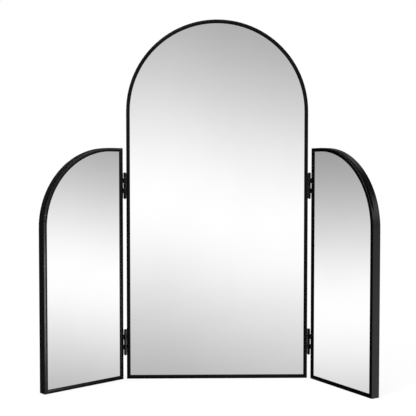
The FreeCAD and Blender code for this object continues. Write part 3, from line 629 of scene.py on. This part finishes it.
def build_world():
    """White to the camera, the sweep to the glass, and the soft studio to all else."""
    world = bpy.data.worlds.new("studio")
    bpy.context.scene.world = world
    world.use_nodes = True
    tree = world.node_tree
    tree.nodes.clear()
    azimuth, elevation = directions(tree)
    sweep = pale_sweep(tree, azimuth, elevation)
    soft = soft_studio(tree, azimuth, elevation)
    path = add(tree, "ShaderNodeLightPath")
    seen = add(tree, "ShaderNodeMix",
               {"Factor": path.outputs["Is Singular Ray"], "A": soft, "B": sweep},
               data_type="FLOAT").outputs["Result"]
    strength = add(tree, "ShaderNodeMix",
                   {"Factor": path.outputs["Is Camera Ray"], "A": seen, "B": 1.0},
                   data_type="FLOAT").outputs["Result"]
    background = add(tree, "ShaderNodeBackground",
                     {"Color": linear("#ffffff"), "Strength": strength})
    add(tree, "ShaderNodeOutputWorld", {"Surface": background.outputs["Background"]})


def build_floor():
    """A pale round floor that fades to white away from the mirror. It keeps the shadow. The
    world's lower half stands for it in the satin surfaces."""
    radius, sides = 12.0, 64
    below_rails = 0.2 * MM
    white_from, white_to = 0.5, 1.4     # metres from the mirror's middle
    near_share = 0.85                   # share of plain white near the mirror
    mesh = bpy.data.meshes.new("floor")
    corners = [(radius * math.cos(math.tau * i / sides), radius * math.sin(math.tau * i / sides),
                -below_rails) for i in range(sides)]
    mesh.from_pydata(corners, [], [list(range(sides))])
    floor = bpy.data.objects.new("floor", mesh)
    bpy.context.scene.collection.objects.link(floor)
    material, tree = new_material("pale_floor")
    place = add(tree, "ShaderNodeTexCoord").outputs["Object"]
    away = add(tree, "ShaderNodeVectorMath", {0: place}, operation="LENGTH").outputs["Value"]
    share = add(tree, "ShaderNodeMapRange",
                {"Value": away, "From Min": white_from, "From Max": white_to,
                 "To Min": near_share, "To Max": 1.0},
                interpolation_type="SMOOTHSTEP").outputs["Result"]
    camera_ray = add(tree, "ShaderNodeLightPath").outputs["Is Camera Ray"]
    white = add(tree, "ShaderNodeMath", {0: share, 1: camera_ray},
                operation="MULTIPLY").outputs["Value"]
    glow = add(tree, "ShaderNodeEmission", {"Strength": 1.0}).outputs["Emission"]
    paper = add(tree, "ShaderNodeBsdfDiffuse", {"Color": linear("#fafafa")}).outputs["BSDF"]
    lit = add(tree, "ShaderNodeMixShader", {0: white, 1: paper, 2: glow}).outputs["Shader"]
    add(tree, "ShaderNodeOutputMaterial", {"Surface": lit})
    mesh.materials.append(material)
    floor.visible_glossy = False
    floor.visible_diffuse = False
    floor.visible_shadow = False


def hide_from_glass(tree, shown):
    """A shader that mirrors see straight through."""
    singular = add(tree, "ShaderNodeLightPath").outputs["Is Singular Ray"]
    clear = add(tree, "ShaderNodeBsdfTransparent").outputs["BSDF"]
    return add(tree, "ShaderNodeMixShader", {0: singular, 1: shown, 2: clear}).outputs["Shader"]


def build_side_light():
    """A soft box with a honeycomb grid, right of the camera. It lights the left wing's outer
    stile. It is a glowing sheet, because mirrors always show a lamp."""
    width, height = 0.28, 0.37
    brightness = 7.0
    grid_angle = math.radians(40)        # no light leaves the grid at a wider angle
    place = Vector((0.35, -0.65, 0.095))
    aim = Vector((-0.404, -0.157, 0.225))
    mesh = bpy.data.meshes.new("side_light")
    mesh.from_pydata([(x * width / 2, y * height / 2, 0)
                      for x, y in ((-1, -1), (1, -1), (1, 1), (-1, 1))], [], [(0, 1, 2, 3)])
    light = bpy.data.objects.new("side_light", mesh)
    light.location = place
    light.rotation_euler = (aim - place).to_track_quat("Z", "Y").to_euler()
    bpy.context.scene.collection.objects.link(light)
    material, tree = new_material("gridded_soft_box")
    facing = add(tree, "ShaderNodeLayerWeight", {"Blend": 0.5}).outputs["Facing"]
    cosine = add(tree, "ShaderNodeMath", {0: 1.0, 1: facing},
                 operation="SUBTRACT").outputs["Value"]
    angle = add(tree, "ShaderNodeMath", {0: cosine}, operation="ARCCOSINE").outputs["Value"]
    slope = add(tree, "ShaderNodeMath", {0: angle}, operation="TANGENT").outputs["Value"]
    through = add(tree, "ShaderNodeMath", {0: slope, 1: -1 / math.tan(grid_angle), 2: 1.0},
                  operation="MULTIPLY_ADD", use_clamp=True).outputs["Value"]
    behind = add(tree, "ShaderNodeNewGeometry").outputs["Backfacing"]
    front = add(tree, "ShaderNodeMath", {0: 1.0, 1: behind}, operation="SUBTRACT").outputs["Value"]
    through = add(tree, "ShaderNodeMath", {0: through, 1: front},
                  operation="MULTIPLY").outputs["Value"]
    strength = add(tree, "ShaderNodeMath", {0: through, 1: brightness},
                   operation="MULTIPLY").outputs["Value"]
    glow = add(tree, "ShaderNodeEmission", {"Strength": strength}).outputs["Emission"]
    add(tree, "ShaderNodeOutputMaterial", {"Surface": hide_from_glass(tree, glow)})
    mesh.materials.append(material)
    light.visible_camera = False
    light.visible_shadow = False


CARD_BOTTOM = -0.9           # satin surfaces don't show the floor, so the cards go on below it


def build_black_card(name, start, end, height):
    """An upright black card that only satin surfaces show."""
    mesh = bpy.data.meshes.new(name)
    mesh.from_pydata([(*start, CARD_BOTTOM), (*end, CARD_BOTTOM), (*end, height),
                      (*start, height)], [], [(0, 1, 2, 3)])
    card = bpy.data.objects.new(name, mesh)
    bpy.context.scene.collection.objects.link(card)
    material, tree = new_material(name)
    velvet = add(tree, "ShaderNodeBsdfDiffuse", {"Color": linear("#020202")}).outputs["BSDF"]
    add(tree, "ShaderNodeOutputMaterial", {"Surface": hide_from_glass(tree, velvet)})
    mesh.materials.append(material)
    card.visible_camera = False
    card.visible_diffuse = False
    card.visible_shadow = False


def build_black_cards():
    """No panel shows in another, so cards in the panels' openings keep light from passing
    through them. A flag in line with the right wing shades the left wing."""
    low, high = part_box("right_wing_mirror_glass")
    hinge_edge, outer_edge = Vector((low[0], high[1])), Vector((high[0], low[1]))
    outward = (outer_edge - hinge_edge).normalized()
    forward = Vector((outward.y, -outward.x))
    build_black_card("right_wing_card", hinge_edge, outer_edge, high[2])
    beyond_frame, in_front, flag_width = 16 * MM, 8 * MM, 0.30
    start = outer_edge + outward * beyond_frame + forward * in_front
    build_black_card("right_flag", start, start + outward * flag_width, high[2])
    low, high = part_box("centre_mirror_glass")
    build_black_card("centre_card", (low[0], low[1]), (high[0], low[1]), high[2])
    low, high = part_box("left_wing_mirror_glass")
    build_black_card("left_wing_card", (low[0], low[1]), (high[0], high[1]), high[2])


def build_camera():
    """The camera stands 2.07 m in front of the mirror, a little left of its middle."""
    sensor_mm, image_pixels, focal_pixels = 36.0, 416, 819.606
    place = Vector((-63.866, -2072.626, 514.065)) * MM
    yaw, pitch, roll = (math.radians(a) for a in (-1.126, 2.256, -0.017))
    look = Vector((-math.sin(yaw) * math.cos(pitch), math.cos(yaw) * math.cos(pitch),
                   -math.sin(pitch)))
    right = Vector((math.cos(yaw), math.sin(yaw), 0))
    turn = Matrix.Rotation(roll, 3, look)
    right, up = turn @ right, turn @ right.cross(look)
    data = bpy.data.cameras.new("camera")
    data.sensor_width = sensor_mm
    data.lens = focal_pixels * sensor_mm / image_pixels
    camera = bpy.data.objects.new("camera", data)
    camera.matrix_world = Matrix((right, up, -look)).transposed().to_4x4()
    camera.location = place
    bpy.context.scene.collection.objects.link(camera)
    bpy.context.scene.camera = camera


# ---------------------------------------------------------------- the whole

body_of_node = {node: body for body, members in frame["record"]["behaviour"]["bodies"].items()
                for node in members}

for subpart in frame["record"]["subparts"]:
    node, slot = subpart["node"], subpart["material_slot"]
    dress(nodes[node], slot)
    if node.endswith("_screws"):
        screws = recessed_screws(node)
        dress(screws, slot)
        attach(screws, body_of_node[node])
        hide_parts(node)

build_world()
build_floor()
build_side_light()
build_black_cards()
build_camera()
bpy.context.scene.view_settings.view_transform = "Standard"
